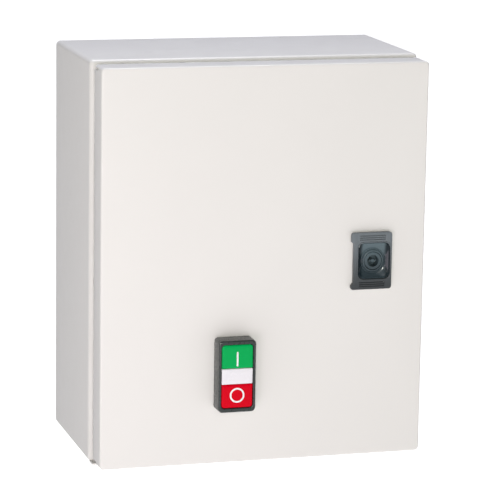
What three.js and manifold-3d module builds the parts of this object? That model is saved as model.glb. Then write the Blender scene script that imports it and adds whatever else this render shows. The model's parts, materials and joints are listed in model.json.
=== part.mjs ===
// A wall-mounted motor starter: a sheet-steel box with a hinged door, a quarter-turn lock,
// a double start/stop push-button, and a contactor with an overload relay on the mounting plate.
// Millimetres. +Z is up, the door faces -Y, and the origin is the centre of the back face.
import * as THREE from 'three';
import { mergeVertices } from 'three/addons/utils/BufferGeometryUtils.js';
import Module from 'manifold-3d';

const wasm = await Module();
wasm.setup();

// ---------------------------------------------------------------- driving dimensions
const GAP = 0.3; // air between two pieces that touch
const SHEET = 1.2; // steel sheet thickness
const BEND = 3; // outer radius of a bend in the door and the rim
const BODY_BEND = 2.5; // outer radius of the bends between the body's walls
const CORNER_STEPS = 2; // fineness of rounded corners

const BOX = { width: 250, height: 300, depth: 150 };
const DOOR = { width: 247, height: 296, flange: 22.5 };
const BODY_DEPTH = 118.8; // back face to the floor of the gutter
const GUTTER = 12; // width of the inward step round the opening
const RIM_FRONT = -141; // front edge of the rim that meets the door seal

const DOOR_FRONT = -BOX.depth;
const DOOR_INSIDE = DOOR_FRONT + SHEET;
const DOOR_BACK = DOOR_FRONT + DOOR.flange;
const GUTTER_FLOOR = -BODY_DEPTH;
const RIM = { x: BOX.width / 2 - GUTTER, z: BOX.height / 2 - GUTTER };
const SEAL_WIDTH = 10;

const HINGE = { x: -119.2, y: -126, z: 105, length: 40, knuckle: 2.4, pin: 1.4 };
const LOCK = { x: 81, z: 0.9, width: 31.4, height: 43, neck: 10.8, bore: 6.9 };
const BUTTON = { x: -24.1, z: -78.8, width: 28.5, height: 54.4, front: -165.3, base: -151.3 };
const CAP = { width: 23.5, height: 17.5, lens: 11.6, thickness: 4.5, travel: 4 };
const PLUNGER = { z: 4.8, radius: 2.2, bore: 2.6, chamber: 3.5 };
const PANEL_HOLE = 11.4; // radius of the round openings in the door

const STUD = { x: 85, z: 110, radius: 3, shoulder: 5, seat: -9.7, tip: -19 };
const FIXING = { x: 104, z: 129, radius: 4.25 };
const PLATE = { width: 190, height: 240, back: -10, front: -12 };
const GLAND = { width: 140, depth: 70, y: -60, border: 8 };

const RAIL = { z: 50, halfLength: 92, depth: 7.5, web: 12.5, flange: 17.5, sheet: 1 };
const RAIL_FRONT = PLATE.front - GAP - RAIL.depth;
const DEVICE = { x: -30, width: 45 }; // contactor and relay share one column
const POLES = [-13, 0, 13].map((offset) => DEVICE.x + offset);
const CONTACTOR = { bottom: 12, top: 88, back: RAIL_FRONT - GAP, split: -62, shelf: -84, front: -100 };
const RELAY = { bottom: -58, top: 8, back: -30, front: -92 };
const TERMINALS = { x: 40, z: -98, width: 70, height: 28, front: -42, ways: 5 };

// ---------------------------------------------------------------- materials
function finish(color, roughness, metalness = 0) {
  return new THREE.MeshStandardMaterial({ color, roughness, metalness });
}

const MATERIAL = {
  paint: finish(0xe6e3dc, 0.38),
  zinc: finish(0xb9bcbf, 0.4, 0.9),
  steel: finish(0x8f9296, 0.35, 0.9),
  brass: finish(0xb8934a, 0.35, 0.9),
  copper: finish(0xa8562e, 0.4, 0.9),
  darkPlastic: finish(0x3b4144, 0.45),
  devicePlastic: finish(0x4a4d50, 0.55),
  coverPlastic: finish(0xc9c8c2, 0.5),
  rubber: finish(0x26282a, 0.85),
  green: finish(0x00a351, 0.35),
  red: finish(0xd8061f, 0.35),
  blue: finish(0x1c5fa8, 0.4),
  white: finish(0xf0eff2, 0.3),
  wire: finish(0x1f2022, 0.6),
};

// ---------------------------------------------------------------- solids and booleans
function signedVolume(positions, index) {
  const [a, b, c] = [new THREE.Vector3(), new THREE.Vector3(), new THREE.Vector3()];
  let volume = 0;
  for (let i = 0; i < index.length; i += 3) {
    a.fromArray(positions, 3 * index[i]);
    b.fromArray(positions, 3 * index[i + 1]);
    c.fromArray(positions, 3 * index[i + 2]);
    volume += a.dot(b.cross(c)) / 6;
  }
  return volume;
}

function toSolid(geometry) {
  geometry.deleteAttribute('normal');
  geometry.deleteAttribute('uv');
  const merged = mergeVertices(geometry, 1e-4);
  const vertProperties = new Float32Array(merged.attributes.position.array);
  const triVerts = new Uint32Array(merged.index.array);
  if (signedVolume(vertProperties, triVerts) < 0) triVerts.reverse();
  return new wasm.Manifold(new wasm.Mesh({ numProp: 3, vertProperties, triVerts }));
}

function toGeometry(solid) {
  const { vertProperties, triVerts } = solid.getMesh();
  const geometry = new THREE.BufferGeometry();
  geometry.setAttribute('position', new THREE.BufferAttribute(new Float32Array(vertProperties), 3));
  geometry.setIndex(new THREE.BufferAttribute(new Uint32Array(triVerts), 1));
  geometry.computeVertexNormals();
  return geometry;
}

const join = (first, ...rest) => rest.reduce((sum, solid) => sum.add(solid), first);
const cut = (first, ...rest) => rest.reduce((left, solid) => left.subtract(solid), first);

// A box between two limits on each axis.
function block([x0, x1], [y0, y1], [z0, z1]) {
  const geometry = new THREE.BoxGeometry(x1 - x0, y1 - y0, z1 - z0);
  geometry.translate((x0 + x1) / 2, (y0 + y1) / 2, (z0 + z1) / 2);
  return toSolid(geometry);
}

// A round bar along Y, between y0 and y1.
function rodY(x, z, radius, y0, y1, sides = 20) {
  const geometry = new THREE.CylinderGeometry(radius, radius, y1 - y0, sides);
  geometry.translate(x, (y0 + y1) / 2, z);
  return toSolid(geometry);
}

// A round bar along Z, between z0 and z1.
function rodZ(x, y, radius, z0, z1, sides = 16) {
  const geometry = new THREE.CylinderGeometry(radius, radius, z1 - z0, sides);
  geometry.rotateX(Math.PI / 2);
  geometry.translate(x, y, (z0 + z1) / 2);
  return toSolid(geometry);
}

// A cone frustum along Y: radius0 at y0 and radius1 at y1.
function coneY(x, z, radius0, radius1, y0, y1, sides = 32) {
  const geometry = new THREE.CylinderGeometry(radius1, radius0, y1 - y0, sides);
  geometry.translate(x, (y0 + y1) / 2, z);
  return toSolid(geometry);
}

function roundedRect(width, height, radius, x = 0, y = 0) {
  const [w, h] = [width / 2 - radius, height / 2 - radius];
  const shape = new THREE.Shape();
  shape.absarc(x + w, y - h, radius, -Math.PI / 2, 0);
  shape.absarc(x + w, y + h, radius, 0, Math.PI / 2);
  shape.absarc(x - w, y + h, radius, Math.PI / 2, Math.PI);
  shape.absarc(x - w, y - h, radius, Math.PI, 1.5 * Math.PI);
  shape.closePath();
  return shape;
}

const polygon = (points) => new THREE.Shape(points.map(([x, y]) => new THREE.Vector2(x, y)));

// An outline drawn in X and Z, as seen from the front, filled between y0 and y1.
function slabY(shape, y0, y1) {
  const settings = { depth: y1 - y0, bevelEnabled: false, curveSegments: CORNER_STEPS };
  const geometry = new THREE.ExtrudeGeometry(shape, settings);
  geometry.rotateX(Math.PI / 2);
  geometry.translate(0, y1, 0);
  return toSolid(geometry);
}

// The same, with the front edge rounded over by a bend.
function crownedSlabY(shape, y0, y1, bend) {
  const settings = { depth: y1 - y0, bevelSize: bend, bevelThickness: bend, bevelOffset: -bend };
  const rounding = { bevelSegments: 2, curveSegments: CORNER_STEPS };
  const geometry = new THREE.ExtrudeGeometry(shape, { ...settings, ...rounding });
  geometry.rotateX(Math.PI / 2);
  geometry.translate(0, y1 + bend, 0);
  const reach = BOX.width + BOX.height;
  return toSolid(geometry).intersect(block([-reach, reach], [y0, y1], [-reach, reach]));
}

// An outline drawn in X and Y, as seen from above, filled between z0 and z1.
function prismZ(shape, z0, z1) {
  const settings = { depth: z1 - z0, bevelEnabled: false, curveSegments: CORNER_STEPS };
  const geometry = new THREE.ExtrudeGeometry(shape, settings);
  geometry.translate(0, 0, z0);
  return toSolid(geometry);
}

// An outline drawn in Y and Z, as seen from the right, filled between x0 and x1.
function prismX(shape, x0, x1) {
  const geometry = new THREE.ExtrudeGeometry(shape, { depth: x1 - x0, bevelEnabled: false });
  const [x, y, z] = [new THREE.Vector3(1, 0, 0), new THREE.Vector3(0, 1, 0), new THREE.Vector3(0, 0, 1)];
  geometry.applyMatrix4(new THREE.Matrix4().makeBasis(y, z, x));
  geometry.translate(x0, 0, 0);
  return toSolid(geometry);
}

// A round tube swept along a curve.
function sweep(curve, radius, steps, sides = 8) {
  const section = new THREE.Shape();
  section.absarc(0, 0, radius, 0, 2 * Math.PI);
  const settings = { steps, extrudePath: curve, bevelEnabled: false, curveSegments: sides / 2 };
  return toSolid(new THREE.ExtrudeGeometry(section, settings));
}

const assembly = new THREE.Group();

function add(name, solid, material) {
  const mesh = new THREE.Mesh(toGeometry(solid), material);
  mesh.name = name;
  assembly.add(mesh);
}

const corners = (x, z) => [[-x, z], [x, z], [x, -z], [-x, -z]];

// ---------------------------------------------------------------- enclosure body
function ring(width, height, thickness, y0, y1, radius = BEND) {
  const outer = slabY(roundedRect(width, height, radius), y0, y1);
  const innerRadius = Math.max(radius - thickness, 1);
  const inner = roundedRect(width - 2 * thickness, height - 2 * thickness, innerRadius);
  return cut(outer, slabY(inner, y0 - 1, y1 + 1));
}

function glandScrewPlaces() {
  const x = GLAND.width / 2 + GLAND.border / 2;
  return [-1, 1].flatMap((side) => [-1, 1].map((row) => [side * x, GLAND.y + row * GLAND.depth / 4]));
}

function enclosureBody() {
  const floor = -BOX.height / 2;
  const sunk = (size) => size - 2 * SHEET;
  const shell = slabY(roundedRect(BOX.width, BOX.height, BODY_BEND), GUTTER_FLOOR, 0);
  const rim = slabY(roundedRect(2 * RIM.x, 2 * RIM.z, BEND), RIM_FRONT, GUTTER_FLOOR + SHEET / 2);
  const room = roundedRect(sunk(BOX.width), sunk(BOX.height), BODY_BEND - SHEET);
  const mouth = roundedRect(sunk(2 * RIM.x), sunk(2 * RIM.z), BEND - SHEET);
  let body = cut(
    join(shell, rim),
    slabY(room, GUTTER_FLOOR + SHEET, -SHEET),
    slabY(mouth, RIM_FRONT - 1, GUTTER_FLOOR + SHEET + 1),
  );
  for (const [x, z] of corners(STUD.x, STUD.z)) {
    body = join(body, rodY(x, z, STUD.shoulder, STUD.seat, -SHEET / 2, 12));
    body = join(body, rodY(x, z, STUD.radius, STUD.tip, STUD.seat + 1, 12));
  }
  for (const [x, z] of corners(FIXING.x, FIXING.z)) {
    body = cut(body, rodY(x, z, FIXING.radius, -SHEET - 1, 1, 16));
  }
  const opening = [GLAND.y - GLAND.depth / 2, GLAND.y + GLAND.depth / 2];
  const half = GLAND.width / 2;
  body = cut(body, block([-half, half], opening, [floor - 1, floor + SHEET + 1]));
  for (const [x, y] of glandScrewPlaces()) {
    body = cut(body, rodZ(x, y, 2.6, floor - 1, floor + SHEET + 1, 10));
  }
  return body;
}

function fixingPlug(x, z) {
  const flange = rodY(x, z, FIXING.radius + 2.2, -SHEET - GAP - 1.8, -SHEET - GAP, 16);
  return join(flange, rodY(x, z, FIXING.radius - GAP, -SHEET - GAP - 1, -0.2, 16));
}

// ---------------------------------------------------------------- gland plate in the bottom
const GLAND_SEAL = { bottom: -BOX.height / 2 + SHEET + GAP, thickness: 2 };
const GLAND_PLATE = { bottom: GLAND_SEAL.bottom + GLAND_SEAL.thickness + GAP, thickness: 1.5 };

function glandBlank(z0, z1) {
  const shape = roundedRect(GLAND.width + 2 * GLAND.border, GLAND.depth + 2 * GLAND.border, 4, 0, GLAND.y);
  const holes = glandScrewPlaces().map(([x, y]) => rodZ(x, y, 2.6, z0 - 1, z1 + 1, 10));
  return cut(prismZ(shape, z0, z1), ...holes);
}

function glandSeal() {
  const { bottom, thickness } = GLAND_SEAL;
  const half = GLAND.width / 2;
  const inside = [GLAND.y - GLAND.depth / 2, GLAND.y + GLAND.depth / 2];
  const window = block([-half, half], inside, [bottom - 1, bottom + thickness + 1]);
  return cut(glandBlank(bottom, bottom + thickness), window);
}

function glandScrew(x, y) {
  const seat = GLAND_PLATE.bottom + GLAND_PLATE.thickness + GAP;
  const head = rodZ(x, y, 4, seat, seat + 2.4);
  const slot = block([x - 5, x + 5], [y - 0.5, y + 0.5], [seat + 1.4, seat + 3]);
  return cut(join(head, rodZ(x, y, 2.2, -BOX.height / 2 + 0.1, seat + 0.5)), slot);
}

// ---------------------------------------------------------------- mounting plate and rail
function mountingPlate() {
  const blank = slabY(roundedRect(PLATE.width, PLATE.height, 4), PLATE.front, PLATE.back);
  const holes = corners(STUD.x, STUD.z).map(([x, z]) => rodY(x, z, STUD.radius + 0.4, -20, 0, 12));
  return cut(blank, ...holes);
}

function hexNut(x, z, acrossFlats, bore, y0, y1) {
  const body = rodY(x, z, acrossFlats / Math.sqrt(3), y0, y1, 6);
  return cut(body, rodY(x, z, bore, y0 - 1, y1 + 1, 16));
}

function dinRail() {
  const back = PLATE.front - GAP;
  const { web, flange, sheet, depth } = RAIL;
  const half = [
    [back, web], [back - depth + sheet, web], [back - depth + sheet, flange], [back - depth, flange],
    [back - depth, web - sheet], [back - sheet, web - sheet],
  ];
  const mirrored = half.map(([y, z]) => [y, -z]).reverse();
  const outline = [...half, ...mirrored].map(([y, z]) => [y, z + RAIL.z]);
  return prismX(polygon(outline), -RAIL.halfLength, RAIL.halfLength);
}

// ---------------------------------------------------------------- contactor
const column = (inset = 0) => [
  DEVICE.x - DEVICE.width / 2 + inset,
  DEVICE.x + DEVICE.width / 2 - inset,
];
const CORE = { half: 16, leg: 6, middle: 10, height: 28, back: -23.5, yoke: 6.5, face: -46 };

function contactorBase() {
  const { bottom, top, back, split } = CONTACTOR;
  const shell = block(column(), [split, back], [bottom, top]);
  return cut(shell, block(column(3), [split - 1, back - 3], [bottom + 4, top - 4]));
}

// The wide part of the cover carries the terminals, on a shelf above and below the narrow front.
function contactorCover() {
  const { bottom, top, split, shelf, front } = CONTACTOR;
  let cover = block(column(), [shelf, split - GAP], [bottom, top]);
  cover = join(cover, block(column(1), [front, shelf + 1], [bottom + 12, top - 12]));
  const window = { x: [DEVICE.x - 7, DEVICE.x + 7], z: [RAIL.z - 9, RAIL.z + 9] };
  cover = cut(cover, block(window.x, [front - 1, split + 1], window.z));
  const headRoom = [DEVICE.x - CORE.half - 1, DEVICE.x + CORE.half + 1];
  cover = cut(cover, block(headRoom, [split - 6, split + 1], [RAIL.z - 16, RAIL.z + 16]));
  for (const x of POLES) {
    for (const [z, outward] of [[bottom, -1], [top, 1]]) {
      cover = cut(cover, rodY(x, z - outward * 6, 3.4, shelf - 1, shelf + 1.4, 12));
      const slot = [Math.min(z + outward, z - outward * 6), Math.max(z + outward, z - outward * 6)];
      cover = cut(cover, block([x - 3.25, x + 3.25], [shelf + 10, shelf + 14.5], slot));
    }
  }
  return cover;
}

// An E-shaped iron core: one yoke with two outer legs and a middle leg, all facing the door.
function fixedCore() {
  const { half, leg, middle, height, back, yoke, face } = CORE;
  const z = [RAIL.z - height / 2, RAIL.z + height / 2];
  const { x } = DEVICE;
  return join(
    block([x - half, x + half], [back - yoke, back], z),
    block([x - half, x - half + leg], [face, back - 1], z),
    block([x - middle / 2, x + middle / 2], [face, back - 1], z),
    block([x + half - leg, x + half], [face, back - 1], z),
  );
}

function coil() {
  const { middle, height, back, yoke, face } = CORE;
  const y = [face + 1, back - yoke - GAP];
  const outer = roundedRect(middle + 9.4, height + 12, 4, DEVICE.x, RAIL.z);
  const legHole = roundedRect(middle + 2 * GAP, height + 2 * GAP, 0.5, DEVICE.x, RAIL.z);
  return cut(slabY(outer, ...y), slabY(legHole, y[0] - 1, y[1] + 1));
}

// The moving core and the contact carrier, whose nose shows in the window of the cover.
const ARMATURE_TRAVEL = 4.2;

function armature() {
  const { half, height, face } = CORE;
  const plateBack = face - ARMATURE_TRAVEL - GAP;
  const z = [RAIL.z - height / 2, RAIL.z + height / 2];
  const plate = block([DEVICE.x - half, DEVICE.x + half], [plateBack - 5, plateBack], z);
  const nose = { x: [DEVICE.x - 6, DEVICE.x + 6], z: [RAIL.z - 8, RAIL.z + 8] };
  return join(plate, block(nose.x, [CONTACTOR.front - 3, plateBack - 4], nose.z));
}

// ---------------------------------------------------------------- overload relay
const DIAL = { x: DEVICE.x - 11, z: -14, radius: 7, depth: 3.5 };
const RESET = { x: DEVICE.x + 11, z: -9, radius: 3.6, travel: 3 };
const TEST = { x: DEVICE.x + 11, z: -22, radius: 3, travel: 2 };
const KEY_BORE_DEPTH = 9;

function overloadRelay() {
  const { bottom, top, back, front } = RELAY;
  let housing = block(column(), [front + 14, back], [bottom, top]);
  housing = join(housing, block(column(1), [front, front + 15], [bottom + 14, top - 2]));
  const foot = block([DEVICE.x - 12, DEVICE.x + 12], [back - 1, PLATE.front - GAP], [bottom + 8, top - 10]);
  housing = join(housing, foot);
  for (const x of POLES) {
    const tab = [CONTACTOR.shelf + 10.8, CONTACTOR.shelf + 13.7];
    housing = join(housing, block([x - 2.5, x + 2.5], tab, [top - 1, CONTACTOR.bottom + 4]));
    housing = cut(housing, rodY(x, bottom + 7, 3.4, front + 13, front + 15.4, 12));
  }
  housing = cut(housing, rodY(DIAL.x, DIAL.z, DIAL.radius + GAP, front - 1, front + DIAL.depth));
  for (const key of [RESET, TEST]) {
    housing = cut(housing, rodY(key.x, key.z, key.radius + GAP, front - 1, front + KEY_BORE_DEPTH, 16));
  }
  return housing;
}

function overloadDial() {
  const disc = rodY(DIAL.x, DIAL.z, DIAL.radius, RELAY.front - 0.8, RELAY.front + DIAL.depth - GAP);
  const slot = block([DIAL.x - 0.7, DIAL.x + 0.7], [-100, RELAY.front + 1], [DIAL.z - 5, DIAL.z + 5]);
  return cut(disc, slot);
}

function relayKey(key) {
  const inner = RELAY.front + KEY_BORE_DEPTH - key.travel - GAP;
  const stem = rodY(key.x, key.z, key.radius, RELAY.front - key.travel - 0.5, inner, 16);
  return cut(stem, rodY(key.x, key.z, key.radius / 2, RELAY.front - 9, RELAY.front - key.travel, 12));
}

// ---------------------------------------------------------------- terminals and wires
const WAY_PITCH = TERMINALS.width / TERMINALS.ways;
const wayX = (way) => TERMINALS.x - TERMINALS.width / 2 + WAY_PITCH * (way + 0.5);

function terminalBlock() {
  const { x, z, width, height, front, ways } = TERMINALS;
  const back = PLATE.front - GAP;
  const span = [x - width / 2, x + width / 2];
  let strip = block(span, [front + 8, back], [z - height / 2, z + height / 2]);
  strip = join(strip, block(span, [front, front + 9], [z - height / 2 + 6, z + height / 2 - 6]));
  for (let way = 0; way < ways; way += 1) {
    for (const side of [-1, 1]) {
      strip = cut(strip, rodY(wayX(way), z + side * 4, 2.6, front - 1, front + 1.2, 10));
      const end = z + side * height / 2;
      const mouth = [Math.min(end - side * 2, end + side), Math.max(end - side * 2, end + side)];
      strip = cut(strip, rodZ(wayX(way), front + 15, 2.8, ...mouth, 8));
    }
    if (way > 0) {
      const groove = wayX(way) - WAY_PITCH / 2;
      strip = cut(strip, block([groove - 0.4, groove + 0.4], [front - 1, front + 1], [z - 20, z + 20]));
    }
  }
  return strip;
}

function earthBar() {
  const x = [-70, -38];
  const bar = block(x, [PLATE.front - 10, PLATE.front - 5], [-112, -104]);
  const feet = [-66, -42].map((foot) => rodY(foot, -108, 3, PLATE.front - 6, PLATE.front - GAP, 10));
  const heads = [-62, -54, -46].map((head) => rodY(head, -108, 2.6, PLATE.front - 13, PLATE.front - 9, 10));
  return join(bar, ...feet, ...heads);
}

// Relay outlet to terminal block, one wire for each pole.
function motorWire(pole) {
  const start = new THREE.Vector3(POLES[pole], -50, RELAY.bottom - GAP);
  const mouthZ = TERMINALS.z + TERMINALS.height / 2;
  const end = new THREE.Vector3(wayX(pole + 1), TERMINALS.front + 15, mouthZ - 1.5);
  const down = new THREE.Vector3(0, 0, -16);
  const curve = new THREE.CubicBezierCurve3(start, start.clone().add(down), end.clone().sub(down), end);
  return sweep(curve, 1.7, 14);
}

// Control wires in a spiral wrap, from the door's contact blocks to the side of the contactor.
// The stretch beside the hinges runs upright, so that it twists as the door opens.
const LOOM_ROUTE = [
  [-36, -119, -78], [-46, -126, -80], [-64, -138, -82], [-84, -142.5, -80], [-97, -143, -70],
  [-99, -143, -50], [-99, -143, -30], [-99, -143, -10], [-98, -138, 6], [-94, -118, 16], [-90, -90, 22],
  [-84, -62, 27], [-74, -52, 31], [-62, -53, 33], [-54, -54, 34],
];

const LOOM_RADIUS = 2.8;

function loom() {
  const points = LOOM_ROUTE.map(([x, y, z]) => new THREE.Vector3(x, y, z));
  return sweep(new THREE.CatmullRomCurve3(points), LOOM_RADIUS, 36);
}

// ---------------------------------------------------------------- hinges
function hingeZ(side) {
  const middle = side * HINGE.z;
  const third = HINGE.length / 3;
  return { low: middle - HINGE.length / 2, high: middle + HINGE.length / 2, third };
}

function bodyLeaf(side) {
  const { low, high, third } = hingeZ(side);
  const { x, y, knuckle, pin } = HINGE;
  const seat = GUTTER_FLOOR - GAP;
  let leaf = block([x - 0.7, x + 5.3], [seat - SHEET, seat], [low, high]);
  const tongue = polygon([[x + 0.7, seat - 0.5], [x + 2.3, seat - 0.5], [x + 2.2, y + 0.6], [x + 0.7, y + 1.2]]);
  for (const [z0, z1] of [[low, low + third - GAP / 2], [high - third + GAP / 2, high]]) {
    leaf = join(leaf, prismZ(tongue, z0, z1), rodZ(x, y, knuckle, z0, z1));
  }
  return cut(leaf, rodZ(x, y, pin + GAP, low - 1, high + 1));
}

function doorLeaf(side) {
  const { low, high, third } = hingeZ(side);
  const { x, y, knuckle, pin } = HINGE;
  const seat = -DOOR.width / 2 + SHEET + GAP;
  const plate = block([seat, seat + SHEET], [DOOR_BACK - 14, DOOR_BACK - 1.5], [low, high]);
  const [z0, z1] = [low + third + GAP / 2, high - third - GAP / 2];
  const tongue = polygon([
    [seat, DOOR_BACK - 3], [seat + SHEET, DOOR_BACK - 3], [x + 1.9, y - 1.2], [x - 2.2, y - 0.6],
  ]);
  const leaf = join(plate, prismZ(tongue, z0, z1), rodZ(x, y, knuckle, z0, z1));
  return cut(leaf, rodZ(x, y, pin + GAP, z0 - 1, z1 + 1));
}

function hingePin(side) {
  const { low, high } = hingeZ(side);
  const shank = rodZ(HINGE.x, HINGE.y, HINGE.pin, low - 0.5, high + GAP + 0.5, 14);
  return join(shank, rodZ(HINGE.x, HINGE.y, HINGE.knuckle, high + GAP, high + GAP + 1));
}

// ---------------------------------------------------------------- door
function doorPanel() {
  const outer = crownedSlabY(roundedRect(DOOR.width, DOOR.height, BEND), DOOR_FRONT, DOOR_BACK, BEND / 2);
  const hollow = roundedRect(DOOR.width - 2 * SHEET, DOOR.height - 2 * SHEET, BEND - SHEET);
  return cut(
    outer,
    slabY(hollow, DOOR_INSIDE, DOOR_BACK + 1),
    rodY(LOCK.x, LOCK.z, PANEL_HOLE, DOOR_FRONT - 1, DOOR_INSIDE + 1),
    rodY(BUTTON.x, BUTTON.z, PANEL_HOLE, DOOR_FRONT - 1, DOOR_INSIDE + 1),
  );
}

function doorSeal() {
  const middle = [2 * RIM.x - SHEET, 2 * RIM.z - SHEET];
  const [width, height] = middle.map((size) => size + SEAL_WIDTH);
  return ring(width, height, SEAL_WIDTH, DOOR_INSIDE + GAP, RIM_FRONT - GAP, 6);
}

// ---------------------------------------------------------------- lock
const CAM = { front: -131, back: -128, length: 25, square: 7 };
const LOCK_FACE = -154.3;
const LOCK_BASE = -151.3;
const NECK_END = -137;

function lockHousing() {
  const { x, z, width, height } = LOCK;
  const plate = slabY(roundedRect(width, height, 2, x, z), LOCK_FACE, LOCK_BASE);
  const waistX = [x - width / 2 - 1, x - width / 2 + 1.7];
  const waist = block(waistX, [LOCK_FACE - 1, LOCK_BASE + 1], [z - 18, z + 14]);
  const frame = slabY(roundedRect(25.4, 27.4, 5, x + 1, z), LOCK_FACE - 0.5, LOCK_FACE + 1);
  const neck = rodY(x, z, LOCK.neck, LOCK_BASE - 1, NECK_END, 32);
  const dish = coneY(x + 1, z, 11.4, 10.2, LOCK_FACE - 0.6, LOCK_FACE + 2.2);
  const boss = rodY(x + 1, z, 8.2, LOCK_FACE, LOCK_FACE + 3, 32);
  const bore = rodY(x + 1, z, LOCK.bore, LOCK_FACE - 2, NECK_END + 1, 32);
  return cut(join(cut(join(cut(plate, waist), frame), dish), boss, neck), bore);
}

function flatSeal(x, z, width, height, radius) {
  const blank = slabY(roundedRect(width, height, radius, x, z), LOCK_BASE + GAP, DOOR_FRONT - GAP);
  return cut(blank, rodY(x, z, PANEL_HOLE, LOCK_BASE - 1, DOOR_FRONT + 1));
}

// The insert turns on the axis of the bore and carries the cam on its square end.
const INSERT_X = LOCK.x + 1;

function lockBarrel() {
  const { z } = LOCK;
  const face = LOCK_FACE + 0.3;
  const well = face + 7;
  const body = rodY(INSERT_X, z, LOCK.bore - GAP, face, CAM.front - GAP, 32);
  const collar = rodY(INSERT_X, z, 8.8, NECK_END + GAP, CAM.front - GAP, 32);
  const half = CAM.square / 2;
  const square = block([INSERT_X - half, INSERT_X + half], [CAM.front - 1, CAM.back + 0.6], [z - half, z + half]);
  const pin = rodY(INSERT_X, z, 1.5, face + 0.5, well + 1, 16);
  const bits = block([INSERT_X - 2.6, INSERT_X + 2.6], [face + 1.2, well + 1], [z - 0.6, z + 0.6]);
  const hollow = rodY(INSERT_X, z, 4.4, face - 1, well, 28);
  const thread = rodY(INSERT_X, z, 2.2, CAM.front - 4, CAM.back + 2, 16);
  return cut(join(cut(join(body, collar, square), hollow), pin, bits), thread);
}

function lockCam() {
  const { z } = LOCK;
  const hub = rodY(INSERT_X, z, 8, CAM.front, CAM.back, 28);
  const arm = block([INSERT_X - 6, INSERT_X + 6], [CAM.front, CAM.back], [z - CAM.length + 6, z]);
  const tip = rodY(INSERT_X, z - CAM.length + 6, 6, CAM.front, CAM.back, 24);
  const half = CAM.square / 2 + GAP;
  const hole = [[INSERT_X - half, INSERT_X + half], [CAM.front - 1, CAM.back + 1], [z - half, z + half]];
  return cut(join(hub, arm, tip), block(...hole));
}

function camScrew() {
  const seat = CAM.back + 0.6 + GAP;
  const shank = rodY(INSERT_X, LOCK.z, 1.9, CAM.front - 3, seat + 0.5, 14);
  return join(rodY(INSERT_X, LOCK.z, 5.2, seat, seat + 3, 6), shank);
}

function latchKeeper() {
  const wall = RIM.x - SHEET - GAP;
  const z = [LOCK.z - 14, LOCK.z + 14];
  const foot = block([wall - SHEET, wall], [-138, -118], z);
  return join(foot, block([wall - 8.5, wall - 0.5], [-134, -132.5], z));
}

// ---------------------------------------------------------------- push-button
const POCKET = { width: CAP.width + 0.7, height: 2 * CAP.height + CAP.lens + 1.2, floor: BUTTON.base - 3 };
const CAP_FRONT = BUTTON.front + 0.3;
const CAP_MIDDLE = CAP.lens / 2 + GAP + CAP.height / 2;
const SYMBOL = { depth: 0.6, line: 1.3, bar: 11, ring: 5.6, clearance: 0.08 };
const BAR_Z = BUTTON.z + CAP_MIDDLE - 1.8; // both marks sit a little towards the lens
const RING_Z = BUTTON.z - CAP_MIDDLE + 0.7;
const CHAMBER = { front: BUTTON.base + 1.6, back: -137.4 };

function buttonBezel() {
  const { x, z, width, height, front, base } = BUTTON;
  const outer = crownedSlabY(roundedRect(width, height, 3, x, z), front, base, 0.8);
  const neck = rodY(x, z, PANEL_HOLE - 0.4, base - 1, -135, 32);
  const pocket = slabY(roundedRect(POCKET.width, POCKET.height, 2.2, x, z), front - 1, POCKET.floor);
  let bezel = cut(join(outer, neck), pocket);
  for (const side of [-1, 1]) {
    const plungerZ = z + side * PLUNGER.z;
    bezel = cut(bezel, rodY(x, plungerZ, PLUNGER.bore, POCKET.floor - 1, -134, 16));
    bezel = cut(bezel, rodY(x, plungerZ, PLUNGER.chamber, CHAMBER.front, CHAMBER.back, 20));
  }
  return bezel;
}

function capBlock(side) {
  const { x, z } = BUTTON;
  const middle = z + side * CAP_MIDDLE;
  const capBack = CAP_FRONT + CAP.thickness;
  const shape = roundedRect(CAP.width, CAP.height, 1.6, x, middle);
  const cap = crownedSlabY(shape, CAP_FRONT, capBack, 0.5);
  const webBack = POCKET.floor - CAP.travel - GAP;
  const inner = z + side * (PLUNGER.z - 3);
  const span = [Math.min(inner, middle), Math.max(inner, middle)];
  const web = block([x - 4.5, x + 4.5], [capBack - 0.5, webBack], span);
  const plunger = rodY(x, z + side * PLUNGER.z, PLUNGER.radius, webBack - 1, -131.5, 16);
  const shoulderFront = CHAMBER.front + GAP;
  const shoulder = rodY(x, z + side * PLUNGER.z, PLUNGER.chamber - GAP, shoulderFront, shoulderFront + 1, 16);
  return join(cap, web, plunger, shoulder);
}

function barSymbol(margin = 0) {
  const width = SYMBOL.line + 2 * margin;
  const height = SYMBOL.bar + 2 * margin;
  const shape = roundedRect(width, height, width / 2 - 0.01, BUTTON.x, BAR_Z);
  return slabY(shape, CAP_FRONT - 0.1 - margin, CAP_FRONT + SYMBOL.depth + margin);
}

function ringSymbol(margin = 0) {
  const z = RING_Z;
  const span = [CAP_FRONT - 0.1 - margin, CAP_FRONT + SYMBOL.depth + margin];
  const outer = rodY(BUTTON.x, z, SYMBOL.ring + margin, ...span, 32);
  return cut(outer, rodY(BUTTON.x, z, SYMBOL.ring - SYMBOL.line - margin, span[0] - 1, span[1] + 1, 32));
}

// The fixed lens stands on two legs, with the webs of the caps passing between them.
function centreLens() {
  const { x, z } = BUTTON;
  const shape = roundedRect(CAP.width, CAP.lens, 0.6, x, z);
  let lens = crownedSlabY(shape, CAP_FRONT, CAP_FRONT + 4, 0.4);
  for (const side of [-1, 1]) {
    const leg = [x + side * 9.7 - 1.7, x + side * 9.7 + 1.7];
    lens = join(lens, block(leg, [CAP_FRONT + 3.5, POCKET.floor - GAP], [z - 5, z + 5]));
  }
  return lens;
}

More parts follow.
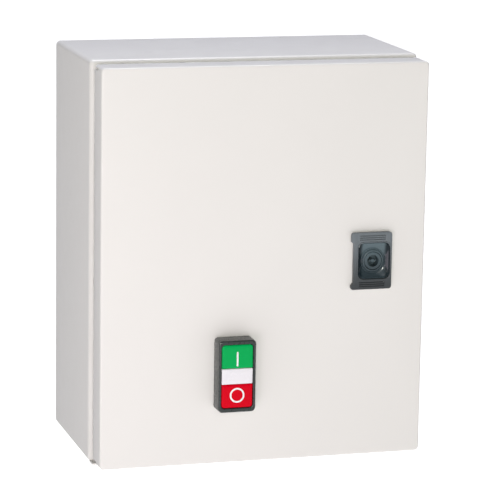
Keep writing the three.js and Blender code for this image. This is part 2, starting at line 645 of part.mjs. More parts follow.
class Helix extends THREE.Curve {
  constructor(radius, turns, x, z, y0, y1) {
    super();
    Object.assign(this, { radius, turns, x, z, y0, y1 });
  }

  getPoint(t, target = new THREE.Vector3()) {
    const angle = 2 * Math.PI * this.turns * t;
    const y = this.y0 + (this.y1 - this.y0) * t;
    return target.set(this.x + this.radius * Math.cos(angle), y, this.z + this.radius * Math.sin(angle));
  }
}

function returnSpring(side) {
  const wire = 0.3;
  const front = CHAMBER.front + GAP + 1 + GAP + wire;
  const back = CHAMBER.back - GAP - wire;
  const turns = 4.5;
  const helix = new Helix(2.8, turns, BUTTON.x, BUTTON.z + side * PLUNGER.z, front, back);
  return sweep(helix, wire, 10 * turns, 6);
}

// The collar clamps the button to the door, and the two contact blocks stand on it.
const COLLAR = { width: 30, height: 42, back: -135 };
const CONTACT = { width: 20, height: 20.5, front: COLLAR.back + GAP, back: -106 };

function buttonCollar() {
  const { x, z } = BUTTON;
  const shape = roundedRect(COLLAR.width, COLLAR.height, 3, x, z);
  const blank = slabY(shape, DOOR_INSIDE + GAP, COLLAR.back);
  return cut(blank, rodY(x, z, PANEL_HOLE - 0.1, -160, -130, 32));
}

function contactBlock(side) {
  const { x, z } = BUTTON;
  const edges = [z + side * GAP, z + side * CONTACT.height];
  const span = [Math.min(...edges), Math.max(...edges)];
  const half = CONTACT.width / 2;
  let housing = block([x - half, x + half], [CONTACT.front, CONTACT.back], span);
  housing = cut(housing, rodY(x, z + side * PLUNGER.z, PLUNGER.bore, CONTACT.front - 1, -126, 16));
  for (const offset of [-5, 5]) {
    const screwZ = z + side * (CONTACT.height - 5);
    housing = cut(housing, rodY(x + offset, screwZ, 2.6, CONTACT.back - 1.2, CONTACT.back + 1, 14));
  }
  return housing;
}

// ---------------------------------------------------------------- assembly
add('enclosure_body', enclosureBody(), MATERIAL.paint);
corners(FIXING.x, FIXING.z).forEach(([x, z], i) => {
  add(`fixing_hole_plug_${i + 1}`, fixingPlug(x, z), MATERIAL.rubber);
});
add('gland_plate_seal', glandSeal(), MATERIAL.rubber);
add('gland_plate', glandBlank(GLAND_PLATE.bottom, GLAND_PLATE.bottom + GLAND_PLATE.thickness), MATERIAL.paint);
glandScrewPlaces().forEach(([x, y], i) => add(`gland_plate_screw_${i + 1}`, glandScrew(x, y), MATERIAL.zinc));
add('mounting_plate', mountingPlate(), MATERIAL.zinc);
corners(STUD.x, STUD.z).forEach(([x, z], i) => {
  const nut = hexNut(x, z, 10, STUD.radius + GAP, PLATE.front - GAP - 4.5, PLATE.front - GAP);
  add(`mounting_plate_nut_${i + 1}`, nut, MATERIAL.steel);
});
add('din_rail', dinRail(), MATERIAL.zinc);

add('contactor_base', contactorBase(), MATERIAL.devicePlastic);
add('contactor_cover', contactorCover(), MATERIAL.coverPlastic);
add('contactor_fixed_core', fixedCore(), MATERIAL.steel);
add('contactor_coil', coil(), MATERIAL.copper);
add('contactor_armature', armature(), MATERIAL.darkPlastic);
add('overload_relay_housing', overloadRelay(), MATERIAL.devicePlastic);
add('overload_dial', overloadDial(), MATERIAL.white);
add('overload_reset_button', relayKey(RESET), MATERIAL.blue);
add('overload_test_button', relayKey(TEST), MATERIAL.red);

add('terminal_block', terminalBlock(), MATERIAL.coverPlastic);
add('earth_bar', earthBar(), MATERIAL.brass);
POLES.forEach((_, i) => add(`motor_wire_${i + 1}`, motorWire(i), MATERIAL.wire));
add('door_loom', loom(), MATERIAL.wire);

for (const [where, side] of [['upper', 1], ['lower', -1]]) {
  add(`${where}_hinge_body_leaf`, bodyLeaf(side), MATERIAL.zinc);
  add(`${where}_hinge_door_leaf`, doorLeaf(side), MATERIAL.zinc);
  add(`${where}_hinge_pin`, hingePin(side), MATERIAL.steel);
}

add('door_panel', doorPanel(), MATERIAL.paint);
add('door_seal', doorSeal(), MATERIAL.rubber);
add('lock_housing', lockHousing(), MATERIAL.darkPlastic);
add('lock_seal', flatSeal(LOCK.x, LOCK.z, 27, 40, 2), MATERIAL.rubber);
const lockNut = hexNut(LOCK.x, LOCK.z, 27, LOCK.neck + GAP, DOOR_INSIDE + GAP, DOOR_INSIDE + 5);
add('lock_nut', lockNut, MATERIAL.zinc);
add('lock_barrel', lockBarrel(), MATERIAL.darkPlastic);
add('lock_cam', lockCam(), MATERIAL.zinc);
add('lock_cam_screw', camScrew(), MATERIAL.steel);
add('latch_keeper', latchKeeper(), MATERIAL.zinc);

add('button_bezel', buttonBezel(), MATERIAL.darkPlastic);
add('button_seal', flatSeal(BUTTON.x, BUTTON.z, 27, 52.8, 2.5), MATERIAL.rubber);
add('button_collar', buttonCollar(), MATERIAL.darkPlastic);
add('centre_lens', centreLens(), MATERIAL.white);
add('start_button', cut(capBlock(1), barSymbol(SYMBOL.clearance)), MATERIAL.green);
add('start_symbol', barSymbol(), MATERIAL.white);
add('stop_button', cut(capBlock(-1), ringSymbol(SYMBOL.clearance)), MATERIAL.red);
add('stop_symbol', ringSymbol(), MATERIAL.white);
add('start_spring', returnSpring(1), MATERIAL.steel);
add('stop_spring', returnSpring(-1), MATERIAL.steel);
add('start_contact_block', contactBlock(1), MATERIAL.green);
add('stop_contact_block', contactBlock(-1), MATERIAL.red);

export default assembly;
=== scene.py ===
"""Looks for the enclosed motor starter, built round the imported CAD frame.

Lengths below are millimetres until they reach a mesh. +Z is up and the door faces -Y.
"""

import json
import math

import bmesh
import bpy
from mathutils import Matrix, Vector


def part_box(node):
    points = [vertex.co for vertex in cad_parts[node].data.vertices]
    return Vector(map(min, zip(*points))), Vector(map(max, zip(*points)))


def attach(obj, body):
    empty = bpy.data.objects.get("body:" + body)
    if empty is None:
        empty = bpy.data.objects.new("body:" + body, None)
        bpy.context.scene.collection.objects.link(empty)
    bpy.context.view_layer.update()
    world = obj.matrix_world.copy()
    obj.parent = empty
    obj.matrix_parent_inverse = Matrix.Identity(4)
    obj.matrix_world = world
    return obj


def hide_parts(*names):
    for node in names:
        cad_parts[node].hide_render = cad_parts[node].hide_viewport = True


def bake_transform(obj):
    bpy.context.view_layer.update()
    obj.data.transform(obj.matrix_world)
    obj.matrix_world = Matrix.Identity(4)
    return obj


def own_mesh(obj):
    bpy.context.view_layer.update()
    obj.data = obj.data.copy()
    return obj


MM = 0.001
TINY = 0.01
WELD = 1e-6

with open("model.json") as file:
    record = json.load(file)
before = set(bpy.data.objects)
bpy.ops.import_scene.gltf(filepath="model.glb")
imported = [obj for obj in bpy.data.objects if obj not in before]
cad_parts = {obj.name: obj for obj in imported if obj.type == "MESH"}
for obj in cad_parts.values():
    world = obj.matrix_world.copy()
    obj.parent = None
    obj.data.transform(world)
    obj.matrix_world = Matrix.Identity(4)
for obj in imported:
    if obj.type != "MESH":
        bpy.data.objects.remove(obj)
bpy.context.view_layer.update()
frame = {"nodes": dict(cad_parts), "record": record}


# ---------------------------------------------------------------- camera, floor and light
CAMERA_AT = (-0.5509, -1.9976, 0.4042)
CAMERA_LENS = 193.55
CAMERA_YAW, CAMERA_PITCH, CAMERA_ROLL = 16.269, 11.515, 0.931
FLOOR_RADIUS = 14.0
FLOOR_Z = -0.150
FLOOR_GAP = 0.0005  # keeps the floor from sharing a plane with the underside
BELOW, HORIZON, ABOVE = 0.90, 0.15, 0.02  # sky brightness: lit table, far wall, dark ceiling
SKY_STOPS = ((0.470, BELOW), (0.490, HORIZON), (0.545, HORIZON), (0.580, ABOVE))  # 0.5 is level
SKY_TINT = (0.98, 0.975, 1.0)
LIT_POINT = Vector((0, -0.1, 0))  # every light faces the middle of the box


def make_camera():
    yaw, pitch, roll = (math.radians(a) for a in (CAMERA_YAW, CAMERA_PITCH, CAMERA_ROLL))
    ahead = Vector((
        math.sin(yaw) * math.cos(pitch),
        math.cos(yaw) * math.cos(pitch),
        -math.sin(pitch),
    ))
    right = ahead.cross(Vector((0, 0, 1))).normalized()
    up = right.cross(ahead)
    turned_right = math.cos(roll) * right + math.sin(roll) * up
    turned_up = -math.sin(roll) * right + math.cos(roll) * up
    camera = bpy.data.objects.new("camera", bpy.data.cameras.new("camera"))
    camera.data.lens = CAMERA_LENS
    camera.data.sensor_width = 36
    basis = Matrix((turned_right, turned_up, -ahead)).transposed().to_4x4()
    camera.matrix_world = Matrix.Translation(CAMERA_AT) @ basis
    bpy.context.scene.collection.objects.link(camera)
    bpy.context.scene.camera = camera


def make_floor():
    """A white floor, clear from below, that neither lights nor shades the object."""
    bm = bmesh.new()
    bmesh.ops.create_circle(bm, cap_ends=True, segments=96, radius=FLOOR_RADIUS)
    mesh = bpy.data.meshes.new("floor")
    bm.to_mesh(mesh)
    bm.free()
    floor = bpy.data.objects.new("floor", mesh)
    floor.location.z = FLOOR_Z - FLOOR_GAP
    bpy.context.scene.collection.objects.link(floor)
    material = bpy.data.materials.new("studio_floor")
    material.use_nodes = True
    bsdf = material.node_tree.nodes["Principled BSDF"]
    bsdf.inputs["Base Color"].default_value = (0.5, 0.5, 0.5, 1)
    bsdf.inputs["Roughness"].default_value = 0.9
    bsdf.inputs["Specular IOR Level"].default_value = 0.1
    bsdf.inputs["Emission Color"].default_value = (1, 1, 1, 1)
    bsdf.inputs["Emission Strength"].default_value = 1.0
    nodes, links = material.node_tree.nodes, material.node_tree.links
    side, clear, mix = (nodes.new(kind) for kind in (
        "ShaderNodeNewGeometry", "ShaderNodeBsdfTransparent", "ShaderNodeMixShader",
    ))
    links.new(side.outputs["Backfacing"], mix.inputs["Fac"])
    links.new(bsdf.outputs["BSDF"], mix.inputs[1])
    links.new(clear.outputs["BSDF"], mix.inputs[2])
    links.new(mix.outputs["Shader"], nodes["Material Output"].inputs["Surface"])
    mesh.materials.append(material)
    floor.visible_diffuse = False
    floor.visible_glossy = False
    floor.visible_shadow = False


def sky_color(level):
    return (*(level * c for c in SKY_TINT), 1)


def make_sky():
    """Brightness by height: the lit table below, a band of wall, and a dark ceiling."""
    world = bpy.data.worlds.new("studio")
    bpy.context.scene.world = world
    world.use_nodes = True
    nodes, links = world.node_tree.nodes, world.node_tree.links
    place = nodes.new("ShaderNodeTexCoord")
    split = nodes.new("ShaderNodeSeparateXYZ")
    height = nodes.new("ShaderNodeMapRange")
    ramp = nodes.new("ShaderNodeValToRGB")
    height.inputs["From Min"].default_value = -1
    links.new(place.outputs["Generated"], split.inputs[0])
    links.new(split.outputs["Z"], height.inputs["Value"])
    links.new(height.outputs["Result"], ramp.inputs["Fac"])
    links.new(ramp.outputs["Color"], nodes["Background"].inputs["Color"])
    stops = ramp.color_ramp.elements
    stops[0].position, stops[0].color = 0.0, sky_color(BELOW)
    stops[1].position, stops[1].color = 1.0, sky_color(ABOVE)
    for position, level in SKY_STOPS:
        stops.new(position).color = sky_color(level)
    nodes["Background"].inputs["Strength"].default_value = 1.0


def soft_light(name, at, size, power, color=(1, 1, 1)):
    data = bpy.data.lights.new(name, "AREA")
    data.shape = "DISK"
    data.size = size
    data.energy = power
    data.color = color
    light = bpy.data.objects.new(name, data)
    light.location = at
    light.rotation_mode = "QUATERNION"
    light.rotation_quaternion = (LIT_POINT - Vector(at)).to_track_quat("-Z", "Y")
    light.visible_camera = False
    bpy.context.scene.collection.objects.link(light)


make_camera()
make_floor()
make_sky()
soft_light("beside_camera", (-0.62, -2.25, 0.46), 0.25, 22.0, (1.0, 0.99, 0.92))
soft_light("key", (-0.1, -2.6, 0.9), 0.9, 5.0)
soft_light("low_left", (-0.34, -0.75, -0.12), 0.30, 0.85, (1.0, 0.86, 1.0))
soft_light("side", (-2.2, 0.6, 1.6), 0.8, 5.5)
soft_light("top", (0.1, 0.5, 2.6), 1.0, 61, (0.885, 0.90, 1.0))
bpy.context.scene.view_settings.view_transform = "Standard"


# ---------------------------------------------------------------- materials
class Finish:
    """A procedural material: colour mottling, uneven roughness and layers of bump."""

    def __init__(self, name, color, rough, metal=0.0):
        self.material = bpy.data.materials.new(name)
        self.material.use_nodes = True
        self.tree = self.material.node_tree
        self.bsdf = self.tree.nodes["Principled BSDF"]
        self.color = color
        self.rough = rough
        self.bsdf.inputs["Base Color"].default_value = (*color, 1)
        self.bsdf.inputs["Roughness"].default_value = rough
        self.bsdf.inputs["Metallic"].default_value = metal
        self.place = self.node("ShaderNodeTexCoord").outputs["Object"]

    def node(self, kind, **settings):
        made = self.tree.nodes.new(kind)
        for key, value in settings.items():
            setattr(made, key, value)
        return made

    def link(self, source, target):
        self.tree.links.new(source, target)

    def noise(self, size, detail=3.0, stretch=(1, 1, 1)):
        """Noise with features about `size` millimetres across, drawn out along an axis by stretch."""
        mapping = self.node("ShaderNodeMapping")
        mapping.inputs["Scale"].default_value = tuple(1 / (size * MM * s) for s in stretch)
        texture = self.node("ShaderNodeTexNoise")
        texture.inputs["Scale"].default_value = 1.0
        texture.inputs["Detail"].default_value = detail
        self.link(self.place, mapping.inputs["Vector"])
        self.link(mapping.outputs["Vector"], texture.inputs["Vector"])
        return texture.outputs["Fac"]

    def spangle(self, size):
        texture = self.node("ShaderNodeTexVoronoi")
        texture.inputs["Scale"].default_value = 1 / (size * MM)
        self.link(self.place, texture.inputs["Vector"])
        return texture.outputs["Color"]

    def mottle(self, source, amount, shift=(0, 0, 0)):
        """Colour that wanders by `amount` either side of the base colour."""
        mix = self.node("ShaderNodeMix", data_type="RGBA")
        dark = [max(c * (1 - amount) + s, 0) for c, s in zip(self.color, shift)]
        light = [min(c * (1 + amount), 1) for c in self.color]
        mix.inputs["A"].default_value = (*dark, 1)
        mix.inputs["B"].default_value = (*light, 1)
        self.link(source, mix.inputs["Factor"])
        self.link(mix.outputs["Result"], self.bsdf.inputs["Base Color"])
        return self

    def uneven(self, source, spread):
        span = self.node("ShaderNodeMapRange")
        span.inputs["From Min"].default_value = 0.3
        span.inputs["From Max"].default_value = 0.7
        span.inputs["To Min"].default_value = max(self.rough - spread, 0.03)
        span.inputs["To Max"].default_value = min(self.rough + spread, 1)
        self.link(source, span.inputs["Value"])
        self.link(span.outputs["Result"], self.bsdf.inputs["Roughness"])
        return self

    def bump(self, source, depth, strength=0.5):
        """A layer of relief `depth` millimetres deep, over any layer made before it."""
        relief = self.node("ShaderNodeBump")
        relief.inputs["Strength"].default_value = strength
        relief.inputs["Distance"].default_value = depth * MM
        normal = self.bsdf.inputs["Normal"]
        if normal.is_linked:
            self.link(normal.links[0].from_socket, relief.inputs["Normal"])
        self.link(source, relief.inputs["Height"])
        self.link(relief.outputs["Normal"], normal)
        return self

    def along(self, axis, start, end, about=None):
        """0 to 1 along an axis between two places in millimetres, or by distance from `about`."""
        split = self.node("ShaderNodeSeparateXYZ")
        self.link(self.place, split.inputs[0])
        at = split.outputs[axis]
        if about is not None:
            offset = self.node("ShaderNodeMath", operation="SUBTRACT")
            offset.inputs[1].default_value = about * MM
            self.link(at, offset.inputs[0])
            distance = self.node("ShaderNodeMath", operation="ABSOLUTE")
            self.link(offset.outputs[0], distance.inputs[0])
            at = distance.outputs[0]
        span = self.node("ShaderNodeMapRange", interpolation_type="SMOOTHSTEP")
        span.inputs["From Min"].default_value = start * MM
        span.inputs["From Max"].default_value = end * MM
        self.link(at, span.inputs["Value"])
        return span.outputs["Result"]

    def tint(self, factor, color):
        """Leads the colour made so far over to another one."""
        mix = self.node("ShaderNodeMix", data_type="RGBA")
        base = self.bsdf.inputs["Base Color"]
        self.link(base.links[0].from_socket, mix.inputs["A"])
        mix.inputs["B"].default_value = (*color, 1)
        self.link(factor, mix.inputs["Factor"])
        self.link(mix.outputs["Result"], base)
        return self

    def set(self, **values):
        for name, value in values.items():
            self.bsdf.inputs[name.replace("_", " ")].default_value = value
        return self


def powder_coat():
    f = Finish("powder_coat", (0.80, 0.785, 0.755), 0.42)
    f.mottle(f.noise(45), 0.012)
    f.uneven(f.noise(9), 0.05)
    f.bump(f.noise(1.3, 2), 0.05, 0.35)
    return f.bump(f.noise(0.35, 2), 0.01, 0.3)


def sheet_metal(name, color, rough, streak=(1, 1, 14), metal=0.92):
    f = Finish(name, color, rough, metal)
    f.mottle(f.noise(7, 4), 0.10)
    f.uneven(f.noise(0.5, 4, streak), 0.10)
    return f.bump(f.noise(0.25, 3, streak), 0.02, 0.4)


def zinc():
    f = Finish("zinc_plate", (0.62, 0.63, 0.64), 0.36, 0.92)
    f.mottle(f.spangle(4.5), 0.09, (0.0, 0.004, 0.012))
    f.uneven(f.noise(1.2, 4), 0.10)
    return f.bump(f.noise(0.4, 3), 0.015, 0.4)


def brass():
    f = Finish("brass", (0.70, 0.53, 0.27), 0.33, 0.92)
    f.mottle(f.noise(4, 5), 0.18, (0.02, 0.0, -0.01))
    f.uneven(f.noise(0.6, 4, (12, 1, 1)), 0.10)
    return f.bump(f.noise(0.3, 3, (12, 1, 1)), 0.015, 0.4)


def rubber():
    f = Finish("seal_rubber", (0.030, 0.030, 0.032), 0.82)
    f.mottle(f.noise(3, 5), 0.25)
    f.uneven(f.noise(1.5), 0.08)
    f.bump(f.noise(0.9, 4), 0.10, 0.5)
    return f.bump(f.noise(0.2, 2), 0.02, 0.4)


def moulded(name, color, rough, grain=0.35, depth=0.02, mottle=0.04):
    """Matt moulded plastic with a fine spark-eroded grain."""
    f = Finish(name, color, rough)
    f.mottle(f.noise(12), mottle)
    f.uneven(f.noise(2.5, 4), 0.06)
    return f.bump(f.noise(grain, 3), depth, 0.5)


def glossy(name, color, rough, mottle=0.02):
    """Polished moulded plastic: nearly even, with faint flow marks."""
    f = Finish(name, color, rough)
    f.mottle(f.noise(8), mottle)
    f.uneven(f.noise(3, 3), 0.03)
    f.bump(f.noise(5, 2), 0.04, 0.25)
    return f.bump(f.noise(0.3, 2), 0.003, 0.3)


PLATE_PAINTED_SHADE = (24, -22)  # heights, in the frame's z, over which painted shade darkens the lock plate towards the bottom
# painted light in the polished recess: a painted reflection at the top, painted shade towards the bottom
# and down both sides
RECESS_PAINTED_SHADE = (12, -9)
RECESS_X = 82.4
RECESS_PAINTED_SHADE_SIDES = (7.5, 10.5)  # distances from RECESS_X where painted shade darkens the sides


def lock_plate():
    """Slate plastic with painted light: a painted reflection keeps the top of the plate pale, and painted
    shade darkens it towards the bottom.
    """
    f = moulded("lock_plastic_painted_shade", (0.157, 0.182, 0.198), 0.36)
    # painted shade: the plate's colour is led over to this darker slate towards the bottom
    return f.tint(f.along("Z", *PLATE_PAINTED_SHADE), (0.034, 0.040, 0.043))


def lock_polish():
    """The polished recess, with painted light: paler at the top as a painted reflection, with painted shade
    towards the bottom and down both sides.
    """
    f = glossy("polished_plastic_painted_shade", (0.100, 0.140, 0.156), 0.2, 0.05).set(Specular_IOR_Level=0.3)
    # painted shade towards the bottom of the recess
    f.tint(f.along("Z", *RECESS_PAINTED_SHADE), (0.034, 0.050, 0.058))
    # painted shade down both sides of the recess
    return f.tint(f.along("X", *RECESS_PAINTED_SHADE_SIDES, about=RECESS_X), (0.004, 0.012, 0.016))


def winding():
    f = Finish("coil_winding", (0.28, 0.10, 0.04), 0.38)
    f.mottle(f.noise(0.5, 2, (20, 1, 20)), 0.45)
    f.uneven(f.noise(3), 0.08)
    return f.bump(f.noise(0.45, 1, (30, 1, 30)), 0.15, 0.8)


FINISHES = {
    "box_paint": powder_coat(),
    "zinc_plate": zinc(),
    "plain_steel": sheet_metal("plain_steel", (0.48, 0.49, 0.50), 0.36),
    "brass": brass(),
    "seal_rubber": rubber(),
    "dark_plastic": moulded("dark_plastic", (0.050, 0.062, 0.068), 0.42),
    "bezel_plastic": moulded("bezel_plastic", (0.030, 0.038, 0.036), 0.30),
    # the lock plate's finish carries painted shade towards the bottom of the plate
    "lock_plastic_painted_shade": lock_plate(),
    # the polished finish carries a painted reflection at the top and painted shade at the bottom and sides
    "polished_plastic_painted_shade": lock_polish(),
    "device_plastic": moulded("device_plastic", (0.07, 0.073, 0.078), 0.5, 0.5, 0.04),
    "cover_plastic": moulded("cover_plastic", (0.58, 0.57, 0.54), 0.45, 0.5, 0.03, 0.02),
    "coil_winding": winding(),
    "green_cap": glossy("green_cap", (0.0, 0.395, 0.088), 0.2).set(Specular_IOR_Level=0.13),
    "red_cap": glossy("red_cap", (0.66, 0.0, 0.012), 0.2).set(Specular_IOR_Level=0.09),
    "blue_key": glossy("blue_key", (0.01, 0.11, 0.42), 0.32).set(Specular_IOR_Level=0.3),
    "white_lens": glossy("white_lens", (0.82, 0.81, 0.84), 0.26, 0.01),
    "symbol_white": glossy("symbol_white", (0.90, 0.90, 0.90), 0.35, 0.01),
    "wire_sleeve": moulded("wire_sleeve", (0.017, 0.017, 0.019), 0.46, 0.6, 0.03, 0.2),
}


# ---------------------------------------------------------------- outlines, as (x, z) pairs
def rounded(width, height, radius, x=0.0, z=0.0, steps=8):
    """A rounded rectangle, counter-clockwise from its lower right corner as seen from the front.

    radius is one number, or one for each corner.
    """
    radii = radius if isinstance(radius, tuple) else (radius,) * 4
    points = []
    for (sx, sz), start, own in zip(((1, -1), (1, 1), (-1, 1), (-1, -1)), (-90, 0, 90, 180), radii):
        own = min(max(own, TINY), width / 2, height / 2)
        cx, cz = sx * (width / 2 - own), sz * (height / 2 - own)
        for i in range(steps + 1):
            angle = math.radians(start + 90 * i / steps)
            points.append((x + cx + own * math.cos(angle), z + cz + own * math.sin(angle)))
    return points


def circle(radius, x=0.0, z=0.0, steps=16):
    return rounded(2 * radius, 2 * radius, radius, x, z, steps)


def filleted(corners, steps=5):
    """A polygon of (x, z, radius) corners, each corner rounded by its own radius."""
    points = []
    for i, (x, z, radius) in enumerate(corners):
        here = Vector((x, z))
        before = (Vector(corners[i - 1][:2]) - here).normalized()
        after = (Vector(corners[(i + 1) % len(corners)][:2]) - here).normalized()
        if radius <= 0:
            points.append((x, z))
            continue
        half = before.angle(after) / 2
        centre = here + (before + after).normalized() * radius / math.sin(half)
        first = here + before * radius / math.tan(half) - centre
        last = here + after * radius / math.tan(half) - centre
        sweep = first.angle_signed(last)
        for k in range(steps + 1):
            spoke = first.copy()
            spoke.rotate(Matrix.Rotation(-sweep * k / steps, 2))
            points.append(tuple(centre + spoke))
    return points


# ---------------------------------------------------------------- meshes
def new_object(name, bm):
    bmesh.ops.remove_doubles(bm, verts=bm.verts, dist=WELD)
    bmesh.ops.dissolve_degenerate(bm, dist=WELD, edges=bm.edges)
    bmesh.ops.recalc_face_normals(bm, faces=bm.faces)
    mesh = bpy.data.meshes.new(name)
    bm.to_mesh(mesh)
    bm.free()
    made = bpy.data.objects.new(name, mesh)
    bpy.context.scene.collection.objects.link(made)
    return made


def loft(name, rings, closed=False):
    """One skin over rings of equal point count. A ring is (outline, y)."""
    bm = bmesh.new()
    loops = [[bm.verts.new((x * MM, y * MM, z * MM)) for x, z in outline] for outline, y in rings]
    count = len(loops[0])
    following = loops[1:] + loops[:1] if closed else loops[1:]
    for near, far in zip(loops, following):
        for i in range(count):
            j = (i + 1) % count
            bm.faces.new((near[i], near[j], far[j], far[i]))
    if not closed:
        bm.faces.new(loops[0])
        bm.faces.new(loops[-1])
    return new_object(name, bm)


def slab(name, outline, y0, y1):
    return loft(name, [(outline, y0), (outline, y1)])


def rod(name, x, z, radius, y0, y1, steps=12):
    return slab(name, circle(radius, x, z, steps), y0, y1)


def block(name, x, y, z):
    middle = ((x[0] + x[1]) / 2, (z[0] + z[1]) / 2)
    return slab(name, rounded(x[1] - x[0], z[1] - z[0], 0, *middle, 1), *y)


def turned(name, x, z, profile, steps=16):
    """A solid of revolution about Y from (radius, y) pairs."""
    return loft(name, [(circle(max(radius, TINY), x, z, steps), y) for radius, y in profile])


def combine(target, tools, operation="DIFFERENCE"):
    """Cuts tools from the target, or joins them to it, and removes them."""
    for tool in tools:
        step = target.modifiers.new("boolean", "BOOLEAN")
        step.operation = operation
        step.solver = "EXACT"
        step.object = tool
    applied(target)
    for tool in tools:
        bpy.data.objects.remove(tool, do_unlink=True)
    return target


def applied(target):
    graph = bpy.context.evaluated_depsgraph_get()
    graph.update()
    mesh = bpy.data.meshes.new_from_object(target.evaluated_get(graph))
    target.modifiers.clear()
    target.data = mesh
    return target


def cut(target, *tools):
    return combine(target, tools)


def join(target, *tools):
    return combine(target, tools, "UNION")


def round_edges(target, width, segments=2, angle=32, chosen=None):
    """Rounds the edges that turn by more than `angle` degrees, and that `chosen` accepts."""
    bm = bmesh.new()
    bm.from_mesh(target.data)
    bmesh.ops.dissolve_limit(bm, angle_limit=math.radians(0.5), verts=bm.verts, edges=bm.edges)
    limit = math.radians(angle)
    edges = [e for e in bm.edges if e.is_manifold and e.calc_face_angle(0) > limit]
    if chosen:
        edges = [e for e in edges if chosen(*[v.co / MM for v in e.verts])]
    bmesh.ops.bevel(
        bm,
        geom=edges,
        offset=width * MM,
        segments=segments,
        profile=0.5,
        affect="EDGES",
        clamp_overlap=True,
        miter_outer="ARC",
    )
    bmesh.ops.remove_doubles(bm, verts=bm.verts, dist=WELD)
    bm.to_mesh(target.data)
    bm.free()
    return target


def smooth(target, angle=35):
    bm = bmesh.new()
    bm.from_mesh(target.data)
    for face in bm.faces:
        face.smooth = True
    for edge in bm.edges:
        edge.smooth = not edge.is_manifold or edge.calc_face_angle(0) < math.radians(angle)
    bm.to_mesh(target.data)
    bm.free()
    return target


def tube(name, points, radius, sides=10, groove=None):
    """A round tube along points; groove(distance, angle) adds to the radius."""
    bm = bmesh.new()
    path = [Vector(p) for p in points]
    loops = []
    normal = None
    travelled = 0.0
    for i, point in enumerate(path):
        ahead = (path[min(i + 1, len(path) - 1)] - path[max(i - 1, 0)]).normalized()
        if normal is None:
            normal = ahead.orthogonal().normalized()
        normal = (normal - ahead * normal.dot(ahead)).normalized()
        across = ahead.cross(normal)
        travelled += (point - path[i - 1]).length if i else 0.0
        loop = []
        for k in range(sides):
            angle = 2 * math.pi * k / sides
            r = radius + (groove(travelled, angle) if groove else 0.0)
            offset = r * (math.cos(angle) * normal + math.sin(angle) * across)
            loop.append(bm.verts.new((point + offset) * MM))
        loops.append(loop)
    for near, far in zip(loops, loops[1:]):
        for k in range(sides):
            m = (k + 1) % sides
            bm.faces.new((near[k], near[m], far[m], far[k]))
    bm.faces.new(loops[0])
    bm.faces.new(loops[-1])
    return new_object(name, bm)


def spline(points, count):
    """`count` points evenly spread in parameter along a Catmull-Rom curve through points."""
    path = [Vector(p) for p in points]
    path = [2 * path[0] - path[1]] + path + [2 * path[-1] - path[-2]]
    spans = len(path) - 3
    made = []
    for i in range(count):
        at = min(i * spans / (count - 1), spans - TINY * MM)
        k = int(at)
        t = at - k
        a, b, c, d = path[k:k + 4]
        made.append(
            0.5 * (2 * b + (c - a) * t + (2 * a - 5 * b + 4 * c - d) * t ** 2
                   + (3 * b - a - 3 * c + d) * t ** 3)
        )
    return made


def flat_faces(target):
    """Keeps the shading of large flat faces even, up to their rounded edges."""
    weighted = target.modifiers.new("flat_faces", "WEIGHTED_NORMAL")
    weighted.weight = 100
    weighted.keep_sharp = True


def dress(target, slot, body=None, replaced=(), angle=35, finish=None):
    """Shading, material, body and CAD nodes of a new piece. finish overrides the slot's own."""
    smooth(target, angle)
    target.data.materials.clear()
    target.data.materials.append(FINISHES[finish or slot].material)
    if replaced:
        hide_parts(*replaced)
    if body:
        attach(target, body)
    return target


# ---------------------------------------------------------------- sizes taken from the frame
def span(node):
    low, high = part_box(node)
    return low / MM, high / MM


BODY_LOW, BODY_HIGH = span("enclosure_body")
DOOR_LOW, DOOR_HIGH = span("door_panel")
SHEET = 1.2
GUTTER = 12.0
GUTTER_FLOOR = -118.8
RIM_FRONT = BODY_LOW.y
PANEL_HOLE = 11.4
BODY_SIZE = (BODY_HIGH.x - BODY_LOW.x, BODY_HIGH.z - BODY_LOW.z)
DOOR_SIZE = (DOOR_HIGH.x - DOOR_LOW.x, DOOR_HIGH.z - DOOR_LOW.z)


def tray_rings(size, profile):
    """Rings for loft from (inset, y, corner radius) triples."""
    width, height = size
    return [(rounded(width - 2 * inset, height - 2 * inset, radius), y) for inset, y, radius in profile]


def bend(inset, y, radius, start, end, steps=5):
    """(inset, y) pairs on an arc round a centre, with angles in degrees from -Y towards +inset."""
    pairs = []
    for i in range(steps + 1):
        angle = math.radians(start + (end - start) * i / steps)
        pairs.append((inset + radius * math.sin(angle), y - radius * math.cos(angle)))
    return pairs


# ---------------------------------------------------------------- box
BODY_CORNER = 3.2
RIM_CORNER = 3.0
FOLD = 3.0  # outer radius of the fold at the front edge of the body
BACK_FOLD = 3.6
FOOT_FOLD = 1.4  # where the gutter's floor turns up into the rim
RIM_EDGE = 0.6  # radius of the rim's front edge
LIP_REACH = 9.0  # the bottom wall runs on forward, under the door
LIP_THICKNESS = 1.1
FIXING_RADIUS = 4.25
SCREW_HOLE = 2.4  # half the width of the square holes that the gland plate's screws pass


